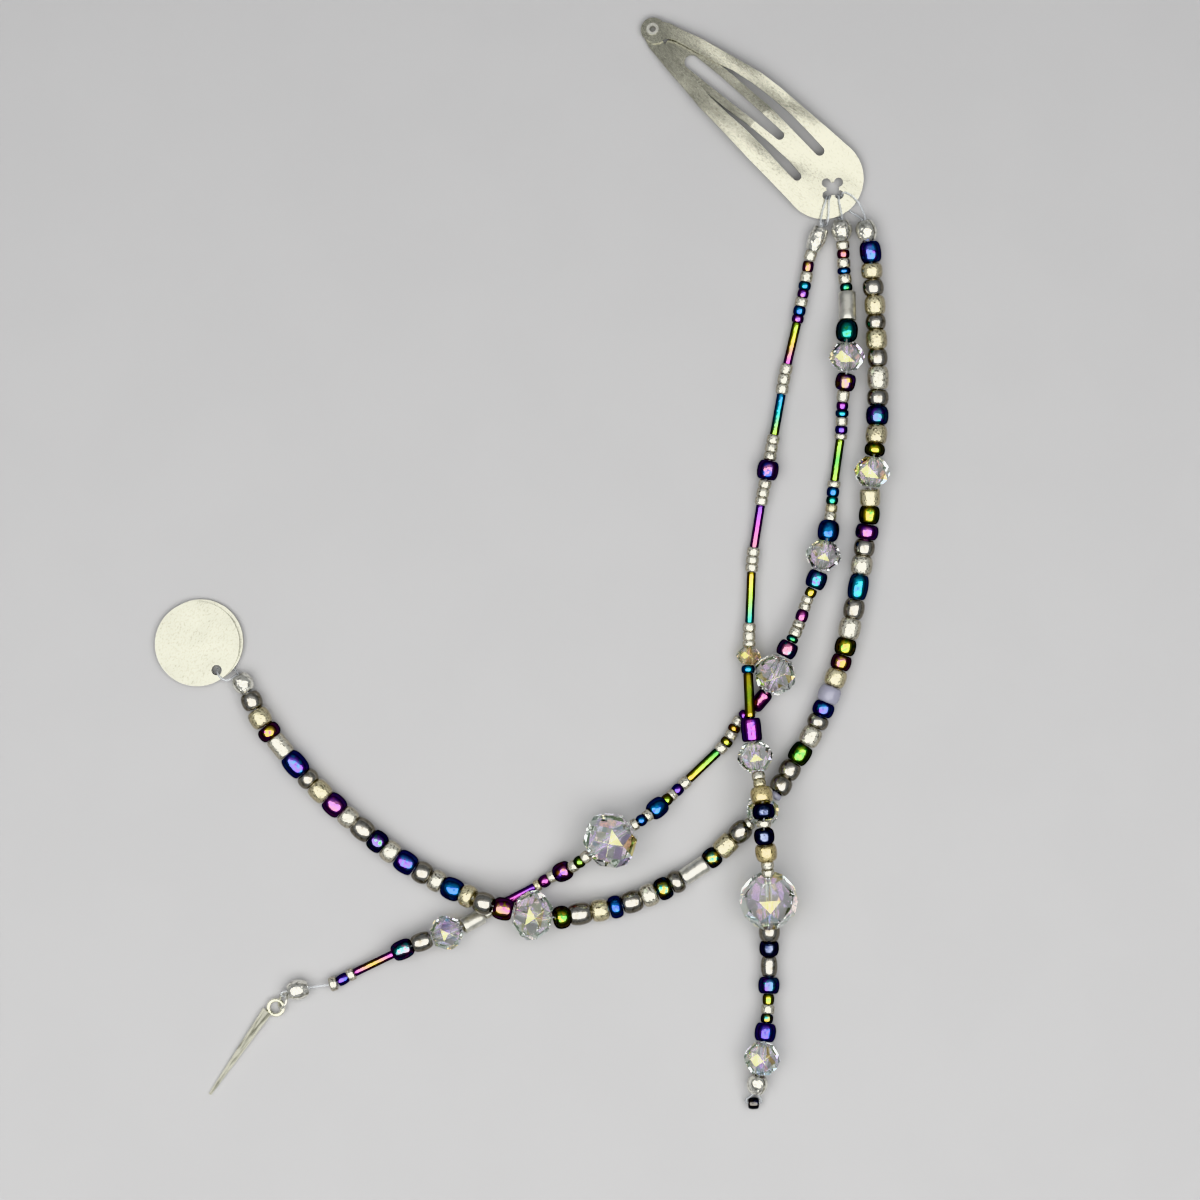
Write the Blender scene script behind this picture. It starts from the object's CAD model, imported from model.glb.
"""Looks of a beaded hair clip: a snap clip with three strands of glass beads, crystals and metal charms."""

import logging
import math
import random
from collections.abc import Callable
from dataclasses import dataclass, field
from enum import Enum

import bmesh
import bpy
from mathutils import Matrix, Vector


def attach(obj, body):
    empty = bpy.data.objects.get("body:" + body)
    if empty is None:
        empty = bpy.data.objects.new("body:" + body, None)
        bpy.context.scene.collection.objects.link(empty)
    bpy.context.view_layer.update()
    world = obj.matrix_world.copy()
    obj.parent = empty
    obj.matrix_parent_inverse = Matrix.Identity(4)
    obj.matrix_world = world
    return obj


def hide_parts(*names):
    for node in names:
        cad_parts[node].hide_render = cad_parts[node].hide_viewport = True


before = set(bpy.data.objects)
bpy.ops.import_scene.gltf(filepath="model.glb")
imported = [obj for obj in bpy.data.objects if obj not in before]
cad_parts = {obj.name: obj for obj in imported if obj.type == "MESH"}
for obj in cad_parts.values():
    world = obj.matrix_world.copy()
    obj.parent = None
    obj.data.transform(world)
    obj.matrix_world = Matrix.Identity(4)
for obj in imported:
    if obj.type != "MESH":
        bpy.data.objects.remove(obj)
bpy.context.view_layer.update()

LOG = logging.getLogger("hair_clip")
ROOT = "root"
MM = 0.001
Colour = tuple[float, float, float]

# Photograph: frame width on the table, the point below the camera, and the camera's height
PHOTO_WIDTH = 206.9 * MM
PHOTO_CENTRE = (13.28 * MM, -6.21 * MM)
CAMERA_HEIGHT = 600 * MM
SENSOR = 36.0

# Directions of the marks on the clip, the discs and the spike, as radians from +X
CLIP_TURN = math.radians(138.4)
DISC_TURN = 0.9
SPIKE_TURN = math.radians(52)

# Corners closer than this are one: the first distance tells solids apart, the second closes their copies
WELD = 0.002 * MM
FINE_WELD = 0.0005 * MM

# Sockets of a Mix node that holds colours
MIX_FIRST, MIX_SECOND, MIX_RESULT = 6, 7, 2


class Side(Enum):
    """The three strands, by the place where they leave the clip."""

    LEFT = "left"
    MIDDLE = "middle"
    RIGHT = "right"


class Kind(Enum):
    """Kinds of bead, by the first word of their nodes' names."""

    BEADS = "beads"
    BUGLE = "bugle"
    CRYSTAL = "crystal"
    RONDELLE = "rondelle"
    TUBE = "tube"
    CRIMP = "crimp"


class Glaze(Enum):
    """Colours that the beads are glazed or lined with, as linear red, green and blue."""

    CLEAR = (0.93, 0.91, 0.79)
    WARM = (0.92, 0.85, 0.58)
    SMOKE = (0.58, 0.56, 0.51)
    MILK = (0.40, 0.40, 0.50)
    CHAMPAGNE = (0.90, 0.76, 0.40)
    MIDNIGHT = (0.03, 0.04, 0.10)
    SLATE = (0.26, 0.30, 0.42)
    STEEL = (0.62, 0.61, 0.58)
    BLUE = (0.05, 0.14, 0.62)
    AZURE = (0.05, 0.40, 0.82)
    TEAL = (0.04, 0.48, 0.46)
    GREEN = (0.10, 0.42, 0.10)
    LIME = (0.48, 0.72, 0.10)
    GOLD = (0.82, 0.64, 0.08)
    ORANGE = (0.84, 0.38, 0.12)
    ROSE = (0.80, 0.32, 0.50)
    MAGENTA = (0.60, 0.13, 0.56)
    PURPLE = (0.32, 0.12, 0.68)


class Build(Enum):
    """Ways in which a bead is made."""

    SILVERED = "clear glass over a crackled silver lining"
    LUSTRE = "dark glass under a rainbow film"
    MILKY = "cloudy glass"
    PEARL = "dark silvery glass"


# Tints of glass and nylon, the coats on some of the crystals' facets and the share of facets that have one
CRYSTAL_TINT = (0.99, 1.0, 0.97)
CHAMPAGNE_TINT = (1.0, 0.84, 0.50)
NYLON_TINT = (0.84, 0.87, 0.90)
SOOT = (0.10, 0.09, 0.08)
COATS = ((1.0, 0.66, 0.14), (1.0, 0.80, 0.30), (0.60, 0.82, 1.0), (0.75, 0.60, 1.0))
COATED_SHARE = 0.16

# Squareness of the beads' sections, 2 for an ellipse
SQUARE = 5.0
CUT_SEED = 3.4
ROUNDNESS = {Build.SILVERED: 2.4, Build.LUSTRE: 2.2, Build.MILKY: 2.2, Build.PEARL: 2.0}

BUILD_OF = {
    Glaze.CLEAR: Build.SILVERED,
    Glaze.WARM: Build.SILVERED,
    Glaze.CHAMPAGNE: Build.SILVERED,
    Glaze.SMOKE: Build.PEARL,
    Glaze.MILK: Build.MILKY,
}

# Glazes of each strand's beads from the clip outwards. Two or three words are the colours that one bead's
# film runs through, and ! marks a bead that is cut square.
CHARTS = {
    Side.LEFT: """
        steel clear magenta/gold clear azure/teal purple/rose clear azure/blue purple/rose lime/gold/magenta
        clear clear clear azure/teal/lime clear clear clear blue/rose clear clear clear purple/magenta/rose
        clear clear clear gold/lime/teal clear clear clear champagne teal/azure gold/lime/gold magenta/purple!
        clear clear warm champagne slate/midnight clear slate/midnight champagne clear clear clear
        smoke slate/midnight smoke teal/purple gold/lime clear teal/gold blue/purple clear steel
    """,
    Side.MIDDLE: """
        steel clear orange/rose clear azure/blue clear green/teal steel green/teal clear gold/purple
        clear purple/magenta teal/azure clear purple/blue clear lime/green/lime clear azure/blue teal/green
        warm clear azure/blue clear teal/purple gold/lime clear clear magenta/rose clear clear
        green/teal rose/teal clear magenta/rose! clear purple/magenta clear gold/orange clear lime/gold
        clear green/lime/gold clear blue/purple clear lime/gold azure/blue clear azure/blue clear clear
        clear lime/green clear purple/orange clear magenta/rose warm purple/magenta/rose clear clear steel
        clear smoke rose/teal magenta/gold/magenta clear blue/purple clear steel
    """,
    Side.RIGHT: """
        steel purple/azure warm smoke warm smoke warm smoke clear smoke teal/purple
        warm green/gold clear warm! green/gold purple/rose smoke clear azure/teal smoke clear
        gold/green gold/rose warm milk purple/azure smoke clear green/lime smoke smoke
        milk clear clear smoke warm! gold/teal steel smoke gold/teal clear smoke azure/blue
        warm smoke gold/green clear gold/magenta smoke warm azure/blue clear smoke azure/purple clear
        green/purple smoke clear rose/purple warm smoke azure/purple clear! gold/magenta warm smoke steel
    """,
}


class Sheet:
    """A material's or a group's node tree with short calls to add and join nodes."""

    def __init__(self, tree: bpy.types.NodeTree) -> None:
        """Starts from an empty tree.

        Args:
            tree: the node tree to fill.
        """
        self.tree = tree
        self.tree.nodes.clear()

    def add(self, kind: str, **settings: object) -> bpy.types.Node:
        """Adds a node.

        Args:
            kind: the node's type name without the words ShaderNode.
            settings: properties of the node, and its inputs as in tune.

        Returns:
            The new node.
        """
        node = self.tree.nodes.new("ShaderNode" + kind)
        for name, value in settings.items():
            if hasattr(node, name):
                setattr(node, name, value)
            else:
                self.tune(node, **{name: value})
        return node

    def tune(self, node: bpy.types.Node, **values: object) -> None:
        """Sets or links a node's inputs, by name with spaces as underscores.

        Args:
            node: the node.
            values: a value for each input, or the socket that it reads.
        """
        for name, value in values.items():
            self.put(node.inputs[name.replace("_", " ")], value)

    def put(self, target: bpy.types.NodeSocket, value: object) -> None:
        """Sets an input, or links it where the value is a socket.

        Args:
            target: the input.
            value: its value, or the socket that it reads.
        """
        if isinstance(value, bpy.types.NodeSocket):
            self.tree.links.new(value, target)
        else:
            target.default_value = value

    def place(self) -> bpy.types.NodeSocket:
        """Returns Object coordinates."""
        return self.add("TexCoord").outputs["Object"]

    def calc(self, operation: str, *terms: float | bpy.types.NodeSocket) -> bpy.types.NodeSocket:
        """Works out one value from others.

        Args:
            operation: name of the operation.
            terms: its numbers, or the sockets that it reads.

        Returns:
            The result.
        """
        node = self.add("Math", operation=operation)
        for target, term in zip(node.inputs, terms):
            self.put(target, term)
        return node.outputs[0]

    def scale(self, size: bpy.types.NodeSocket) -> bpy.types.NodeSocket:
        """Returns a texture's scale for a size in millimetres."""
        return self.calc("DIVIDE", 1.0 / MM, size)

    def mixed(
        self, first: object, second: object, share: float | bpy.types.NodeSocket, blend: str = "MIX"
    ) -> bpy.types.NodeSocket:
        """Mixes two colours.

        Args:
            first: the first colour, of four numbers, or the socket that holds it.
            second: the second colour, in the same way.
            share: how far the second one is mixed in.
            blend: name of the blend type.

        Returns:
            The new colour.
        """
        mix = self.add("Mix", data_type="RGBA", blend_type=blend, Factor=share)
        self.put(mix.inputs[MIX_FIRST], first)
        self.put(mix.inputs[MIX_SECOND], second)
        return mix.outputs[MIX_RESULT]

    def edge_shade(
        self, colour: bpy.types.NodeSocket, near: float, far: float, rim: Colour
    ) -> bpy.types.NodeSocket:
        """Darkens a glass form's colour towards its edges, where the glass is seen through its wall.

        Args:
            colour: the colour in the middle.
            near: how far the surface turns away where the change starts, from 0 to 1.
            far: how far it turns away where the change is complete.
            rim: what the colour is multiplied by there.

        Returns:
            The shaded colour.
        """
        facing = self.add("LayerWeight", Blend=0.5).outputs["Facing"]
        edge = self.add(
            "MapRange", interpolation_type="SMOOTHSTEP", Value=facing, From_Min=near, From_Max=far
        )
        return self.mixed(colour, (*rim, 1.0), edge.outputs["Result"], "MULTIPLY")

    def bump(self, height: bpy.types.NodeSocket, strength: float, depth: float) -> bpy.types.Node:
        """Adds relief.

        Args:
            height: the relief's height.
            strength: share of the relief that shows.
            depth: depth in millimetres.

        Returns:
            The relief's node.
        """
        return self.add("Bump", Height=height, Strength=strength, Distance=depth * MM)


def node_group(
    name: str, inputs: dict[str, object], outputs: dict[str, str]
) -> tuple[Sheet, bpy.types.Node, bpy.types.Node]:
    """Starts a shader node group.

    Args:
        name: the group's name.
        inputs: each input's name and default value: a number, a colour of four numbers, or None for a vector.
        outputs: each output's name and socket type.

    Returns:
        The group's sheet, its input node and its output node.
    """
    tree = bpy.data.node_groups.new(name, "ShaderNodeTree")
    sheet = Sheet(tree)
    for label, value in inputs.items():
        kind = "NodeSocketFloat" if isinstance(value, (int, float)) else "NodeSocketColor"
        kind = "NodeSocketVector" if value is None else kind
        socket = tree.interface.new_socket(label, in_out="INPUT", socket_type=kind)
        if value is not None:
            socket.default_value = value
    for label, kind in outputs.items():
        tree.interface.new_socket(label, in_out="OUTPUT", socket_type=kind)
    return sheet, tree.nodes.new("NodeGroupInput"), tree.nodes.new("NodeGroupOutput")


def mottle_group() -> bpy.types.NodeTree:
    """Builds the group that lets two colours run into each other in soft patches.

    Returns:
        The group: Colour and Mask from Place, First, Second, Size and Balance.
    """
    softness = 0.12
    sheet, start, end = node_group(
        "mottle",
        {"Place": None, "First": (1, 1, 1, 1), "Second": (0, 0, 0, 1), "Size": 1.0, "Balance": 0.5},
        {"Colour": "NodeSocketColor", "Mask": "NodeSocketFloat"},
    )
    given = start.outputs
    noise = sheet.add(
        "TexNoise", Vector=given["Place"], Scale=sheet.scale(given["Size"]), Detail=2.0, Roughness=0.45
    )
    mask = sheet.add(
        "MapRange", interpolation_type="SMOOTHSTEP", Value=noise.outputs["Fac"],
        From_Min=sheet.calc("SUBTRACT", given["Balance"], softness),
        From_Max=sheet.calc("ADD", given["Balance"], softness),
    ).outputs["Result"]
    sheet.tune(end, Colour=sheet.mixed(given["First"], given["Second"], mask), Mask=mask)
    return sheet.tree


def scuff_group() -> bpy.types.NodeTree:
    """Builds the group of fine handling marks.

    Returns:
        The group: Roughness and Height from Place, Smoothest, Roughest and Grain.
    """
    patch_size = 4.0
    sheet, start, end = node_group(
        "scuffs",
        {"Place": None, "Smoothest": 0.15, "Roughest": 0.4, "Grain": 0.2},
        {"Roughness": "NodeSocketFloat", "Height": "NodeSocketFloat"},
    )
    given = start.outputs
    grain = sheet.add(
        "TexNoise", Vector=given["Place"], Scale=sheet.scale(given["Grain"]), Detail=3.0, Roughness=0.6
    ).outputs["Fac"]
    patches = sheet.add(
        "TexNoise", Vector=given["Place"], Scale=1.0 / (patch_size * MM), Detail=4.0, Roughness=0.65
    ).outputs["Fac"]
    spread = sheet.add(
        "MapRange", Value=sheet.calc("MULTIPLY", grain, patches), From_Min=0.12, From_Max=0.42,
        To_Min=given["Smoothest"], To_Max=given["Roughest"],
    )
    sheet.tune(end, Roughness=spread.outputs["Result"], Height=grain)
    return sheet.tree


def ripple_group() -> bpy.types.NodeTree:
    """Builds the group of dents in metal, waves in glass and crackle in silver leaf.

    Returns:
        The group: Height from Place, Size and Detail.
    """
    sheet, start, end = node_group(
        "ripples", {"Place": None, "Size": 1.0, "Detail": 1.0}, {"Height": "NodeSocketFloat"}
    )
    given = start.outputs
    noise = sheet.add(
        "TexNoise", Vector=given["Place"], Scale=sheet.scale(given["Size"]), Detail=given["Detail"]
    )
    sheet.tune(end, Height=noise.outputs["Fac"])
    return sheet.tree


class Groups:
    """The shader node groups that the finishes share, each built once."""

    mottle: bpy.types.NodeTree
    scuffs: bpy.types.NodeTree
    ripples: bpy.types.NodeTree

    @classmethod
    def build(cls) -> None:
        """Builds the groups."""
        cls.mottle, cls.scuffs, cls.ripples = mottle_group(), scuff_group(), ripple_group()

    @staticmethod
    def use(sheet: Sheet, tree: bpy.types.NodeTree, **values: object) -> bpy.types.bpy_prop_collection:
        """Places a group in a material.

        Args:
            sheet: the material's sheet.
            tree: the group.
            values: the group's inputs: values, or the sockets that they read.

        Returns:
            The group's outputs.
        """
        node = sheet.add("Group", node_tree=tree)
        sheet.tune(node, **values)
        return node.outputs


def new_material(name: str) -> tuple[bpy.types.Material, Sheet, bpy.types.Node]:
    """Makes a material with one surface shader.

    Args:
        name: the material's name.

    Returns:
        The material, its sheet and its surface shader.
    """
    material = bpy.data.materials.new(name)
    material.use_nodes = True
    sheet = Sheet(material.node_tree)
    surface = sheet.add("BsdfPrincipled")
    sheet.add("OutputMaterial", Surface=surface.outputs["BSDF"])
    return material, sheet, surface


@dataclass(frozen=True)
class MetalFinish:
    """A bare or plated metal with patches of tarnish and fine marks. Sizes are in millimetres."""

    name: str
    bright: Colour
    dull: Colour
    smoothest: float
    roughest: float
    grain: float
    relief: float
    patch: float = 3.0
    balance: float = 0.55
    turn: float = 0.0
    stretch: float = 1.0
    dent: float = 0.0
    depth: float = 0.3
    metallic: float = 1.0
    grain_depth: float = 0.02
    dent_share: float = 0.8

    def material(self) -> bpy.types.Material:
        """Builds the finish.

        Returns:
            The material.
        """
        material, sheet, surface = new_material(self.name)
        place = sheet.add(
            "Mapping", vector_type="TEXTURE", Vector=sheet.place(), Rotation=(0.0, 0.0, self.turn),
            Scale=(self.stretch, 1.0, 1.0),
        ).outputs["Vector"]
        mottle = Groups.use(
            sheet, Groups.mottle, Place=place, First=(*self.bright, 1.0), Second=(*self.dull, 1.0),
            Size=self.patch, Balance=self.balance,
        )
        scuffs = Groups.use(
            sheet, Groups.scuffs, Place=place, Smoothest=self.smoothest, Roughest=self.roughest,
            Grain=self.grain,
        )
        relief = sheet.bump(scuffs["Height"], self.relief, self.grain_depth)
        if self.dent:
            dents = Groups.use(sheet, Groups.ripples, Place=place, Size=self.dent)
            dented = sheet.bump(dents["Height"], self.dent_share, self.depth)
            sheet.tune(relief, Normal=dented.outputs["Normal"])
        sheet.tune(
            surface, Metallic=self.metallic, Base_Color=mottle["Colour"], Roughness=scuffs["Roughness"],
            Normal=relief.outputs["Normal"],
        )
        return material


@dataclass(frozen=True)
class FilmFinish:
    """Dark glass under a thin rainbow film, in two colours that attributes give. Sizes are in millimetres."""

    name: str = "rainbow_film"
    patch: float = 0.7
    smoothest: float = 0.07
    roughest: float = 0.24
    wave: float = 0.4
    coat: float = 0.12
    balance: float = 0.54
    grain: float = 0.3
    wave_size: float = 1 / 1.3
    wave_depth: float = 0.12
    coat_roughness: float = 0.03
    near: float = 0.04
    far: float = 0.22
    rim: Colour = (0.06, 0.045, 0.10)
    tint: Colour = (0.25, 0.25, 0.30)

    def material(self) -> bpy.types.Material:
        """Builds the finish.

        Returns:
            The material.
        """
        material, sheet, surface = new_material(self.name)
        place = sheet.place()
        film, accent = (sheet.add("Attribute", attribute_name=n).outputs["Color"] for n in ("film", "accent"))
        mottle = Groups.use(
            sheet, Groups.mottle, Place=place, First=film, Second=accent, Size=self.patch,
            Balance=self.balance,
        )
        scuffs = Groups.use(
            sheet, Groups.scuffs, Place=place, Smoothest=self.smoothest, Roughest=self.roughest,
            Grain=self.grain,
        )
        waves = Groups.use(sheet, Groups.ripples, Place=place, Size=self.wave_size)
        sheet.tune(
            surface, Base_Color=sheet.edge_shade(mottle["Colour"], self.near, self.far, self.rim),
            Metallic=1.0, Roughness=scuffs["Roughness"], Specular_Tint=(*self.tint, 1.0),
            Coat_Weight=self.coat, Coat_Roughness=self.coat_roughness,
            Normal=sheet.bump(waves["Height"], self.wave, self.wave_depth).outputs["Normal"],
        )
        return material


@dataclass(frozen=True)
class GlassFinish:
    """Clear or cloudy glass, tinted by an attribute."""

    name: str
    roughness: float
    ior: float = 1.52
    transmission: float = 1.0
    film: float = 0.0
    film_ior: float = 2.1

    def material(self) -> bpy.types.Material:
        """Builds the finish.

        Returns:
            The material.
        """
        material, sheet, surface = new_material(self.name)
        tint = sheet.add("Attribute", attribute_name="tint").outputs["Color"]
        sheet.tune(
            surface, Base_Color=tint, Roughness=self.roughness, IOR=self.ior,
            Transmission_Weight=self.transmission, Thin_Film_Thickness=self.film,
            Thin_Film_IOR=self.film_ior,
        )
        return material


@dataclass(frozen=True)
class SilveredFinish:
    """Glass over silver leaf with fine dark crackle, tinted by an attribute. Sizes are in millimetres."""

    name: str
    shade: float
    crackle: float
    size: float
    smoothest: float
    roughest: float
    metallic: float
    coat: float
    wall: float
    balance: float = 0.60
    crackle_depth: float = 0.1
    crackle_detail: float = 2.0
    coat_roughness: float = 0.03
    near: float = 0.10
    far: float = 0.45
    tarnish: Colour = (1.0, 0.95, 0.85)
    wall_tint: Colour = (1.0, 0.93, 0.80)

    def material(self) -> bpy.types.Material:
        """Builds the finish.

        Returns:
            The material.
        """
        material, sheet, surface = new_material(self.name)
        place = sheet.place()
        tint = sheet.add("Attribute", attribute_name="tint").outputs["Color"]
        tarnished = (*(self.shade * v for v in self.tarnish), 1.0)
        mottle = Groups.use(
            sheet, Groups.mottle, Place=place, First=tint,
            Second=sheet.mixed(tint, tarnished, 1.0, "MULTIPLY"), Size=self.size, Balance=self.balance,
        )
        rim = tuple(self.wall * v for v in self.wall_tint)
        scuffs = Groups.use(
            sheet, Groups.scuffs, Place=place, Smoothest=self.smoothest, Roughest=self.roughest,
            Grain=self.size,
        )
        crackle = Groups.use(sheet, Groups.ripples, Place=place, Size=self.size, Detail=self.crackle_detail)
        sheet.tune(
            surface, Base_Color=sheet.edge_shade(mottle["Colour"], self.near, self.far, rim),
            Metallic=self.metallic, Roughness=scuffs["Roughness"], Coat_Weight=self.coat,
            Coat_Roughness=self.coat_roughness,
            Normal=sheet.bump(crackle["Height"], self.crackle, self.crackle_depth).outputs["Normal"],
        )
        return material


class Finishes:
    """Every material of the piece, made once."""

    def __init__(self) -> None:
        """Makes the materials."""
        self.clip_steel = MetalFinish(
            "clip_steel", bright=(0.40, 0.395, 0.33), dull=(0.29, 0.286, 0.238), smoothest=0.15,
            roughest=0.34, grain=0.08, relief=0.5, patch=0.26, balance=0.60, turn=CLIP_TURN, stretch=2.0,
            dent=7.0, depth=0.9,
        ).material()
        self.disc_metal = MetalFinish(
            "disc_metal", bright=(0.40, 0.40, 0.34), dull=(0.285, 0.283, 0.237), smoothest=0.26,
            roughest=0.46, grain=0.08, relief=0.6, patch=0.24, balance=0.59, turn=DISC_TURN, stretch=1.6,
            dent=4.0, depth=0.35,
        ).material()
        self.bright_metal = MetalFinish(
            "bright_metal", bright=(0.74, 0.73, 0.66), dull=(0.62, 0.61, 0.55), smoothest=0.12, roughest=0.32,
            grain=0.2, relief=0.12, patch=0.9, balance=0.6, metallic=0.8,
        ).material()
        self.spike_metal = MetalFinish(
            "spike_metal", bright=(0.96, 0.95, 0.79), dull=(0.40, 0.40, 0.31), smoothest=0.08, roughest=0.22,
            grain=0.2, relief=0.1, patch=0.8, balance=0.58, turn=SPIKE_TURN, stretch=6.0, dent=1.6,
            depth=0.03, metallic=0.8,
        ).material()
        self.cover_metal = MetalFinish(
            "cover_metal", bright=(0.84, 0.83, 0.76), dull=(0.40, 0.39, 0.35), smoothest=0.12, roughest=0.30,
            grain=0.3, relief=0.2, patch=0.6, balance=0.58, dent=0.8, depth=0.30, metallic=0.85,
        ).material()
        self.satin_tube = MetalFinish(
            "satin_tube", bright=(0.72, 0.71, 0.65), dull=(0.56, 0.55, 0.49), smoothest=0.30, roughest=0.46,
            grain=0.12, relief=0.2, patch=1.0, metallic=0.9,
        ).material()
        self.film = FilmFinish().material()
        self.silvered = SilveredFinish(
            "silvered_glass", shade=0.14, crackle=0.75, size=0.36, smoothest=0.08, roughest=0.26,
            metallic=0.72, coat=1.0, wall=0.45,
        ).material()
        self.smoke = SilveredFinish(
            "smoky_silver", shade=0.5, crackle=0.14, size=0.8, smoothest=0.16, roughest=0.30,
            metallic=1.0, coat=0.35, wall=0.30,
        ).material()
        self.crystal = GlassFinish("cut_crystal", 0.0, ior=1.58, transmission=0.98, film=205.0).material()
        self.milky = GlassFinish("milky_glass", 0.10, transmission=0.3).material()
        self.nylon = GlassFinish("nylon", 0.08, ior=1.53, transmission=0.7).material()
        self.midnight = FilmFinish(
            "midnight_glass", patch=1.4, smoothest=0.04, roughest=0.10, wave=0.05, coat=0.8
        ).material()


@dataclass(frozen=True)
class BeadPlace:
    """Where one bead sits, measured on its solid."""

    centre: Vector
    axis: Vector
    length: float
    width: float
    node: str

    def matrix(self) -> Matrix:
        """Returns the transform from a bead that stands on Z at the origin to its place."""
        turn = self.axis.to_track_quat("Z", "Y").to_matrix().to_4x4()
        return Matrix.Translation(self.centre) @ turn


@dataclass
class Solid:
    """One loose solid of a node: its corners and its faces' areas and normals."""

    node: str
    corners: list[Vector]
    faces: list[tuple[float, Vector]]
    middle: Vector = field(init=False)

    def __post_init__(self) -> None:
        """Finds the middle of the solid's corners."""
        low = Vector(min(c[i] for c in self.corners) for i in range(3))
        high = Vector(max(c[i] for c in self.corners) for i in range(3))
        self.middle = (low + high) / 2

    def measured(self, hint: Vector) -> BeadPlace:
        """Measures the bead along the axis that its flat ends show.

        Args:
            hint: the rough direction of the thread here.

        Returns:
            The bead's place.
        """
        cone = math.cos(math.radians(25))
        alike = 60  # directions that round to the same sixtieth count as one
        ends: dict[tuple[int, int, int], list] = {}
        for area, normal in self.faces:
            toward = normal if normal.dot(hint) > 0 else -normal
            if toward.dot(hint) > cone:
                key = tuple(round(v * alike) for v in toward)
                ends.setdefault(key, []).append((area, toward))
        flat = max(ends.values(), key=lambda faces: sum(a for a, _ in faces))
        axis = sum((n * a for a, n in flat), Vector()).normalized()
        along = [c.dot(axis) for c in self.corners]
        middle_along = (min(along) + max(along)) / 2
        across = [c - axis * c.dot(axis) for c in self.corners]
        centre = sum(across, Vector()) / len(across)
        radius = max((p - centre).length for p in across)
        return BeadPlace(centre + axis * middle_along, axis, max(along) - min(along), 2 * radius, self.node)


def solids_of(node: str) -> list[Solid]:
    """Reads a node's loose solids.

    Args:
        node: the node's name.

    Returns:
        The solids, in no set order.
    """
    bm = bmesh.new()
    bm.from_mesh(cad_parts[node].data)
    bmesh.ops.remove_doubles(bm, verts=bm.verts, dist=WELD)
    found, seen = [], set()
    for start in bm.verts:
        if start in seen:
            continue
        seen.add(start)
        group, queue = [start], [start]
        while queue:
            for edge in queue.pop().link_edges:
                for other in edge.verts:
                    if other not in seen:
                        seen.add(other)
                        group.append(other)
                        queue.append(other)
        faces = {f for v in group for f in v.link_faces}
        found.append(Solid(
            node, [v.co.copy() for v in group], [(f.calc_area(), f.normal.copy()) for f in faces]
        ))
    bm.free()
    return found


def strand_places(side: Side) -> list[BeadPlace]:
    """Puts a strand's beads in order from the clip outwards and measures each.

    Args:
        side: the strand.

    Returns:
        The places of the strand's beads, crimp covers among them.
    """
    names = [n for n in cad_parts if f"_{side.value}_" in n]
    rest = [solid for n in sorted(names) for solid in solids_of(n)]
    current = next(s for s in rest if s.node == f"crimp_{side.value}_1")
    chain = []
    while current is not None:
        chain.append(current)
        rest.remove(current)
        here = current.middle
        current = min(rest, key=lambda s: (s.middle - here).length, default=None)
    places = []
    for i, solid in enumerate(chain):
        before, after = chain[max(i - 1, 0)].middle, chain[min(i + 1, len(chain) - 1)].middle
        places.append(solid.measured((after - before).normalized()))
    return places


def ring_profile(
    inner: float, outer: float, half: float, power: float, count: int
) -> list[tuple[float, float]]:
    """Returns the section of a rounded ring, as radius and height of each point round it.

    Args:
        inner: radius of the bore.
        outer: largest radius.
        half: half of the height.
        power: 2 for an ellipse, more for a squarer section.
        count: number of points.

    Returns:
        The points, in order round the section.
    """
    middle, reach = (inner + outer) / 2, (outer - inner) / 2
    points = []
    for i in range(count):
        turn = 2 * math.pi * (i + 0.5) / count
        c, s = math.cos(turn), math.sin(turn)
        points.append((
            middle + reach * math.copysign(abs(c) ** (2 / power), c),
            half * math.copysign(abs(s) ** (2 / power), s),
        ))
    return points


def tube_profile(inner: float, outer: float, half: float, lip: float, rows: int) -> list[tuple[float, float]]:
    """Returns the section of a cut tube with eased lips, divided along its length.

    Args:
        inner: radius of the bore.
        outer: outer radius.
        half: half of the length.
        lip: size of the eased edge.
        rows: number of divisions along the outside.

    Returns:
        The points, in order round the section.
    """
    flat, chamfer = half - lip, 0.3 * lip
    outside = [(outer, -flat + 2 * flat * i / rows) for i in range(rows + 1)]
    top = [(outer - chamfer, half - chamfer), (outer - lip, half), (inner + lip, half)]
    inside = [(inner, flat - 2 * flat * i / rows) for i in range(rows + 1)]
    bottom = [(inner + lip, -half), (outer - lip, -half), (outer - chamfer, -half + chamfer)]
    return outside + top + inside + bottom


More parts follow.
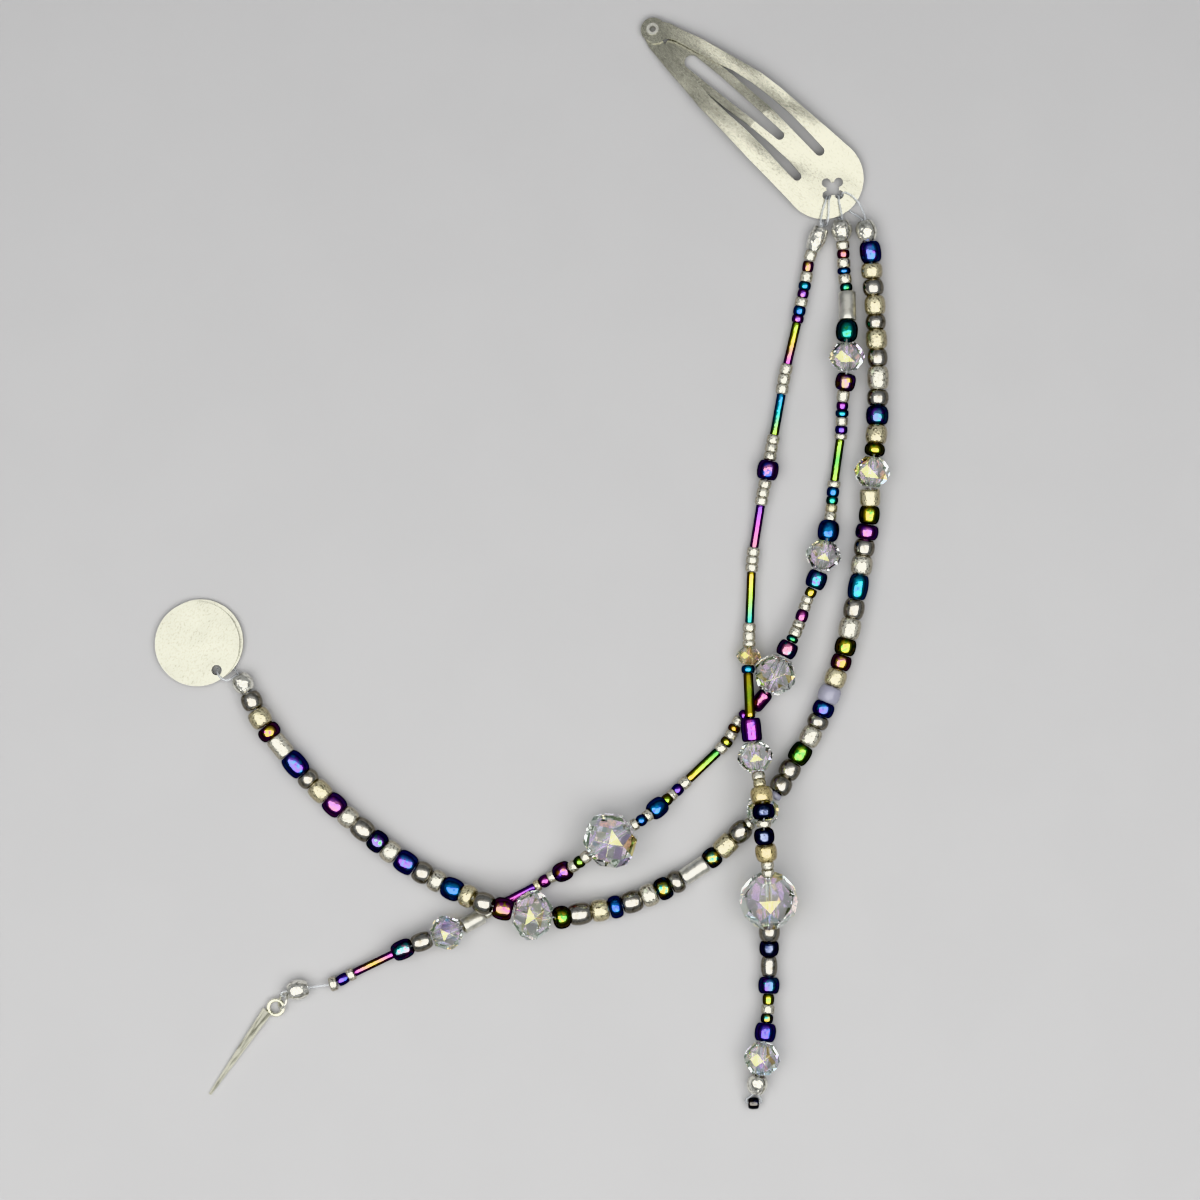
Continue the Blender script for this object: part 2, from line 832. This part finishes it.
class BeadMesh:
    """A growing mesh of beads that all take one finish."""

    def __init__(self, name: str, layers: tuple[str, ...]) -> None:
        """Starts an empty mesh.

        Args:
            name: the piece's name.
            layers: names of the colour attributes that its beads carry.
        """
        self.name = name
        self.bm = bmesh.new()
        self.layers = [self.bm.verts.layers.float_color.new(label) for label in layers]

    def spun(
        self, profile: list[tuple[float, float]], place: BeadPlace, steps: int
    ) -> list[bmesh.types.BMVert]:
        """Turns a section into a ring and sets it in its place.

        Args:
            profile: the section, as radius and height of each point.
            place: where the bead goes.
            steps: divisions round the bead.

        Returns:
            The new vertices.
        """
        before = len(self.bm.verts)
        corners = [self.bm.verts.new((r, 0.0, z)) for r, z in profile]
        edges = [self.bm.edges.new((a, b)) for a, b in zip(corners, corners[1:] + corners[:1])]
        bmesh.ops.spin(
            self.bm, geom=corners + edges, cent=(0, 0, 0), axis=(0, 0, 1), dvec=(0, 0, 0),
            angle=2 * math.pi, steps=steps, use_merge=True, use_duplicate=False,
        )
        self.bm.verts.ensure_lookup_table()
        new = self.bm.verts[before:]
        bmesh.ops.transform(self.bm, matrix=place.matrix(), verts=new)
        return new

    def paint(self, verts: list[bmesh.types.BMVert], *colours: Colour) -> None:
        """Gives vertices one colour in each layer.

        Args:
            verts: the vertices.
            colours: a colour for each layer.
        """
        for layer, colour in zip(self.layers, colours):
            for v in verts:
                v[layer] = (*colour, 1.0)

    def blend(
        self, verts: list[bmesh.types.BMVert], place: BeadPlace, film: list[Colour], accent: list[Colour],
        share: Callable[[Vector], float],
    ) -> None:
        """Runs both layers through a row of colours over a bead.

        Args:
            verts: the bead's vertices.
            place: the bead's place.
            film: the first layer's colours.
            accent: the second layer's colours.
            share: how far along the row a point is, from 0 to 1, given in half sizes of the bead.
        """
        back = place.matrix().inverted()
        for v in verts:
            p = back @ v.co
            t = share(Vector((2 * p.x / place.width, 2 * p.y / place.width, 2 * p.z / place.length)))
            t = max(0.0, min(1.0, t))
            for layer, row in zip(self.layers, (film, accent)):
                step = min(int(t * (len(row) - 1)), len(row) - 2)
                part = t * (len(row) - 1) - step
                v[layer] = (*(a + (b - a) * part for a, b in zip(row[step], row[step + 1])), 1.0)

    def piece(
        self, material: bpy.types.Material, slot: str, replaced: tuple[str, ...] = ()
    ) -> bpy.types.Object | None:
        """Finishes the mesh as a piece of the object.

        Args:
            material: the finish.
            slot: the record's material slot.
            replaced: nodes that the piece stands for.

        Returns:
            The piece, or None where the mesh is empty.
        """
        if not self.bm.verts:
            self.bm.free()
            return None
        bmesh.ops.recalc_face_normals(self.bm, faces=self.bm.faces)
        return finish_piece(self.bm, self.name, material, replaced)


def finish_piece(
    bm: bmesh.types.BMesh, name: str, material: bpy.types.Material,
    replaced: tuple[str, ...] = (), sharp: float = 40.0,
) -> bpy.types.Object:
    """Makes a piece from a finished mesh.

    Args:
        bm: the mesh, which is freed.
        name: the piece's name.
        material: its finish.
        replaced: nodes that the piece stands for.
        sharp: edges that turn by more degrees than this stay crisp.

    Returns:
        The piece.
    """
    mesh = bpy.data.meshes.new(name)
    for face in bm.faces:
        face.smooth = True
    for edge in bm.edges:
        edge.smooth = len(edge.link_faces) == 2 and edge.calc_face_angle(0.0) < math.radians(sharp)
    bm.to_mesh(mesh)
    bm.free()
    mesh.materials.append(material)
    piece = bpy.data.objects.new(name, mesh)
    bpy.context.scene.collection.objects.link(piece)
    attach(piece, ROOT)
    if replaced:
        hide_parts(*replaced)
    LOG.info("%s: %d faces", name, len(mesh.polygons))
    return piece


def merged_copy(node: str) -> bmesh.types.BMesh:
    """Copies a node's mesh and joins its loose corners.

    Args:
        node: the node's name.

    Returns:
        The copy.
    """
    bm = bmesh.new()
    bm.from_mesh(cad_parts[node].data)
    bmesh.ops.remove_doubles(bm, verts=bm.verts, dist=FINE_WELD)
    return bm


def eased(bm: bmesh.types.BMesh, width: float, angle: float, segments: int = 2) -> None:
    """Rounds a mesh's crisp edges.

    Args:
        bm: the mesh.
        width: width of the rounding.
        angle: edges that turn by more degrees than this are rounded.
        segments: faces across the rounding.
    """
    crisp = [e for e in bm.edges if len(e.link_faces) == 2 and e.calc_face_angle(0.0) > math.radians(angle)]
    bmesh.ops.bevel(
        bm, geom=crisp, offset=width, offset_type="OFFSET", affect="EDGES", segments=segments,
        profile=0.5, material=-1, clamp_overlap=True,
    )


@dataclass
class BeadStrand:
    """One strand: its beads, crystals, tubes and crimp covers, in the order of its chart."""

    side: Side
    finishes: Finishes
    seed_bore: float = 0.8 * MM
    large_bore: float = 1.0 * MM
    bugle_bore: float = 0.72 * MM
    tube_bore: float = 1.6 * MM
    small_width: float = 2.9 * MM
    closing: float = 0.14 * MM
    slack: float = 0.042 * MM
    seed_steps: tuple[int, int] = (12, 18)
    large_steps: tuple[int, int] = (16, 24)
    bugle_lip: float = 0.07 * MM
    tube_lip: float = 0.18 * MM
    cover_lip: float = 0.05 * MM
    facet_edge: float = 0.04 * MM
    tones: tuple[float, float] = (0.9, 1.05)
    most_lean: float = 0.35

    def __post_init__(self) -> None:
        """Reads the chart and the places of the beads."""
        self.chart = CHARTS[self.side].split()
        self.places = strand_places(self.side)
        self.draw = random.Random(self.side.value)
        if len(self.chart) != len(self.places):
            raise ValueError(f"{self.side.value}: {len(self.places)} beads, {len(self.chart)} in the chart")

    @staticmethod
    def glazes(words: str) -> list[Glaze]:
        """Returns the glazes that a chart's words name, always two or more."""
        named = [Glaze[word.upper()] for word in words.strip("!").split("/")]
        return named if len(named) > 1 else named * 2

    def build(self) -> None:
        """Builds every piece of the strand."""
        for half in ("upper", "lower"):
            self.build_string(f"beads_{self.side.value}_{half}")
        for words, place in zip(self.chart, self.places):
            kind = Kind(place.node.split("_")[0])
            if kind is Kind.BUGLE:
                self.build_bugle(place, self.glazes(words))
            elif kind is Kind.CRYSTAL:
                self.build_crystal(place, CRYSTAL_TINT)
            elif kind is Kind.RONDELLE:
                self.build_crystal(place, CHAMPAGNE_TINT)
            elif kind is Kind.TUBE:
                self.build_tube(place)
            elif kind is Kind.CRIMP:
                self.build_cover(place)

    def ring(self, mesh: BeadMesh, place: BeadPlace, power: float) -> list[bmesh.types.BMVert]:
        """Adds a bead, which reaches its neighbours, to a mesh.

        Args:
            mesh: the mesh that takes the bead.
            place: the bead's place.
            power: squareness of its section, 2 for an ellipse.

        Returns:
            The bead's vertices.
        """
        small = place.width < self.small_width
        bore = self.seed_bore if small else self.large_bore
        count, steps = self.seed_steps if small else self.large_steps
        half = (place.length + self.closing) / 2
        profile = ring_profile(bore / 2, place.width / 2 - self.slack, half, power, count)
        return mesh.spun(profile, place, steps)

    def build_string(self, node: str) -> None:
        """Builds a string of small beads as one mesh a finish.

        Args:
            node: the string's node.
        """
        films = BeadMesh(f"{node}_film", ("film", "accent"))
        silvered = BeadMesh(f"{node}_silvered", ("tint",))
        smoky = BeadMesh(f"{node}_smoky", ("tint",))
        milky = BeadMesh(f"{node}_milky", ("tint",))
        for words, place in zip(self.chart, self.places):
            if place.node != node:
                continue
            glazes = self.glazes(words)
            build = BUILD_OF.get(glazes[0], Build.LUSTRE)
            power = SQUARE if words.endswith("!") else ROUNDNESS[build]
            if build is Build.SILVERED and place.width < self.small_width:
                power = CUT_SEED
            tone = self.draw.uniform(*self.tones)
            tint = tuple(v * tone for v in glazes[0].value)
            if build is Build.LUSTRE:
                self.add_film(films, self.ring(films, place, power), place, glazes)
            elif build is Build.SILVERED:
                silvered.paint(self.ring(silvered, place, power), tint)
            elif build is Build.PEARL:
                smoky.paint(self.ring(smoky, place, power), tint)
            else:
                milky.paint(self.ring(milky, place, power), tint)
        look = self.finishes
        films.piece(look.film, "bead_glass", (node,))
        silvered.piece(look.silvered, "bead_glass")
        smoky.piece(look.smoke, "bead_glass")
        milky.piece(look.milky, "bead_glass")

    def add_film(
        self, mesh: BeadMesh, verts: list[bmesh.types.BMVert], place: BeadPlace, glazes: list[Glaze]
    ) -> None:
        """Colours a round bead's film, which changes twice round the girth and leans along the bore.

        Args:
            mesh: the mesh that holds the bead.
            verts: the bead's vertices.
            place: the bead's place.
            glazes: the colours that the film runs through.
        """
        middle, swing = 0.45, 0.55
        start = self.draw.uniform(0, 2 * math.pi)
        lean = self.draw.uniform(-self.most_lean, self.most_lean)
        row = [glaze.value for glaze in glazes]

        def share(p: Vector) -> float:
            """Returns how far along the row of colours a point of the bead is."""
            return middle + swing * math.cos(2 * math.atan2(p.y, p.x) + start) + lean * p.z

        mesh.blend(verts, place, row, row[::-1], share)

    def build_bugle(self, place: BeadPlace, glazes: list[Glaze]) -> None:
        """Builds a long tube bead whose film runs through a row of colours.

        Args:
            place: the bead's place.
            glazes: the colours from the end near the clip to the far end.
        """
        middle, along, across = 0.5, 0.55, 0.12
        mesh = BeadMesh(f"{place.node}_film", ("film", "accent"))
        profile = tube_profile(
            self.bugle_bore / 2, place.width / 2, place.length / 2, self.bugle_lip, rows=12
        )
        row = [glaze.value for glaze in glazes]

        def share(p: Vector) -> float:
            """Returns how far along the row of colours a point of the bead is."""
            return middle + along * p.z + across * p.x

        mesh.blend(mesh.spun(profile, place, steps=20), place, row, row, share)
        mesh.piece(self.finishes.film, "bugle_glass", (place.node,))

    def build_crystal(self, place: BeadPlace, plain: Colour) -> None:
        """Builds a cut crystal with a coat that shows other colours on some facets.

        Args:
            place: the crystal's place.
            plain: tint of the glass.
        """
        bm = merged_copy(place.node)
        bmesh.ops.dissolve_limit(bm, angle_limit=math.radians(1.0), verts=bm.verts, edges=bm.edges)
        layer = bm.loops.layers.float_color.new("tint")
        for face in bm.faces:
            coat = self.draw.choice(COATS) if self.draw.random() < COATED_SHARE else plain
            for loop in face.loops:
                loop[layer] = (*coat, 1.0)
        eased(bm, self.facet_edge, angle=5.0, segments=1)
        finish_piece(bm, f"{place.node}_cut", self.finishes.crystal, (place.node,), sharp=2.0)

    def build_tube(self, place: BeadPlace) -> None:
        """Builds a metal tube bead with eased ends.

        Args:
            place: the tube's place.
        """
        mesh = BeadMesh(f"{place.node}_metal", ())
        radius = place.width / 2 - self.slack
        profile = tube_profile(self.tube_bore / 2, radius, place.length / 2, self.tube_lip, rows=6)
        mesh.spun(profile, place, steps=28)
        mesh.piece(self.finishes.satin_tube, "cover_metal", (place.node,))

    def build_cover(self, place: BeadPlace) -> None:
        """Builds a crimp cover with eased lips.

        Args:
            place: the cover's place.
        """
        bm = merged_copy(place.node)
        eased(bm, self.cover_lip, angle=35.0)
        finish_piece(bm, f"{place.node}_shell", self.finishes.cover_metal, (place.node,))


@dataclass
class Hardware:
    """The clip, its eyelet, the threads and the charms."""

    finishes: Finishes
    stop_bore: float = 0.9 * MM

    def build(self) -> None:
        """Builds every piece of the hardware."""
        look = self.finishes
        self.metal("snap_clip", look.clip_steel, "clip_steel")
        self.metal("eyelet", look.bright_metal, "bright_metal")
        self.metal("disc_lower", look.disc_metal, "disc_metal")
        self.metal("disc_upper", look.disc_metal, "disc_metal")
        self.metal("jump_ring", look.bright_metal, "bright_metal")
        self.metal("spike", look.spike_metal, "bright_metal")
        for side in Side:
            self.thread(f"thread_{side.value}")
        self.stop_bead()

    @staticmethod
    def metal(node: str, material: bpy.types.Material, slot: str) -> None:
        """Builds a smoothly shaded metal piece from its node.

        Args:
            node: the node.
            material: the finish.
            slot: the record's material slot.
        """
        finish_piece(merged_copy(node), f"{node}_metal", material, (node,), sharp=35.0)

    def thread(self, node: str) -> None:
        """Builds a clear nylon thread, rounder than its node.

        Args:
            node: the thread's node.
        """
        bm = merged_copy(node)
        layer = bm.verts.layers.float_color.new("tint")
        for v in bm.verts:
            v[layer] = (*NYLON_TINT, 1.0)
        piece = finish_piece(bm, f"{node}_nylon", self.finishes.nylon, (node,), sharp=80.0)
        smooth = piece.modifiers.new("round", "SUBSURF")
        smooth.levels = smooth.render_levels = 1

    def stop_bead(self) -> None:
        """Builds the dark bead that ends the left strand."""
        solid = solids_of("stop_bead")[0]
        place = solid.measured(Vector((1, 0, 0)))
        mesh = BeadMesh("stop_bead_glass", ("film", "accent"))
        profile = ring_profile(self.stop_bore / 2, place.width / 2, place.length / 2, power=2.4, count=14)
        mesh.paint(mesh.spun(profile, place, steps=22), Glaze.MIDNIGHT.value, SOOT)
        mesh.piece(self.finishes.midnight, "dark_glass", ("stop_bead",))


@dataclass
class Studio:
    """Table, soft panels round the camera, and the camera."""

    table_half: float = 1.5
    table_tones: tuple[Colour, Colour] = ((0.45, 0.45, 0.46), (0.445, 0.445, 0.455))
    table_patch: float = 20.0
    table_roughness: float = 0.75
    panel_height: float = 560 * MM
    panel_gap: float = 50 * MM
    reach_side: float = 520 * MM
    reach_near: float = 540 * MM
    reach_far: float = 150 * MM
    reach_wall: float = 420 * MM
    power: float = 2.5
    wall_share: float = 0.09
    panel_area: float = 0.25
    panel_colour: Colour = (1.0, 0.985, 0.95)
    sky: Colour = (0.90, 0.94, 1.0)
    sky_strength: float = 0.24

    def build(self) -> None:
        """Builds the table, the light and the camera."""
        self.table()
        self.lights()
        self.camera()

    def table(self) -> None:
        """Lays a plain pale table top under the piece."""
        bm = bmesh.new()
        bmesh.ops.create_grid(bm, x_segments=1, y_segments=1, size=self.table_half)
        mesh = bpy.data.meshes.new("table")
        bm.to_mesh(mesh)
        bm.free()
        material, sheet, surface = new_material("pale_table")
        first, second = ((*tone, 1.0) for tone in self.table_tones)
        mottle = Groups.use(
            sheet, Groups.mottle, Place=sheet.place(), First=first, Second=second,
            Size=self.table_patch, Balance=0.5,
        )
        sheet.tune(surface, Base_Color=mottle["Colour"], Roughness=self.table_roughness)
        mesh.materials.append(material)
        table = bpy.data.objects.new("table", mesh)
        bpy.context.scene.collection.objects.link(table)

    def lights(self) -> None:
        """Hangs soft panels round a gap for the camera, a dimmer one behind them, and a dim sky."""
        x, y = PHOTO_CENTRE
        near, far, side, gap = self.reach_near, self.reach_far, self.reach_side, self.panel_gap
        spans = {
            "panel_near": (-side, side, -near, -gap, 1.0),
            "panel_far": (-side, side, gap, far, 1.0),
            "panel_left": (-side, -gap, -gap, gap, 1.0),
            "panel_right": (gap, side, -gap, gap, 1.0),
            "panel_wall": (-side, side, far, self.reach_wall, self.wall_share),
        }
        for name, (left, right, low, high, share) in spans.items():
            data = bpy.data.lights.new(name, "AREA")
            data.shape = "RECTANGLE"
            data.size, data.size_y = right - left, high - low
            data.energy = share * self.power * (right - left) * (high - low) / self.panel_area
            data.color = self.panel_colour
            panel = bpy.data.objects.new(name, data)
            panel.location = (x + (left + right) / 2, y + (low + high) / 2, self.panel_height)
            bpy.context.scene.collection.objects.link(panel)
        world = bpy.data.worlds.new("studio")
        world.use_nodes = True
        light = world.node_tree.nodes["Background"].inputs
        light["Color"].default_value = (*self.sky, 1.0)
        light["Strength"].default_value = self.sky_strength
        bpy.context.scene.world = world

    def camera(self) -> None:
        """Hangs the camera straight above the table, with the photograph's frame."""
        data = bpy.data.cameras.new("camera")
        data.sensor_width = SENSOR
        data.lens = SENSOR * CAMERA_HEIGHT / PHOTO_WIDTH
        data.clip_start, data.clip_end = 0.01, 10.0
        camera = bpy.data.objects.new("camera", data)
        camera.location = (*PHOTO_CENTRE, CAMERA_HEIGHT)
        bpy.context.scene.collection.objects.link(camera)
        bpy.context.scene.camera = camera


def main() -> None:
    """Builds the whole scene."""
    logging.basicConfig(level=logging.INFO, format="%(message)s")
    bpy.context.scene.view_settings.view_transform = "Khronos PBR Neutral"
    Groups.build()
    Studio().build()
    finishes = Finishes()
    Hardware(finishes).build()
    for side in Side:
        strand = BeadStrand(side, finishes)
        strand.build()
        LOG.info("strand %s: %d beads", side.value, len(strand.places))


if __name__ == "__main__":
    main()
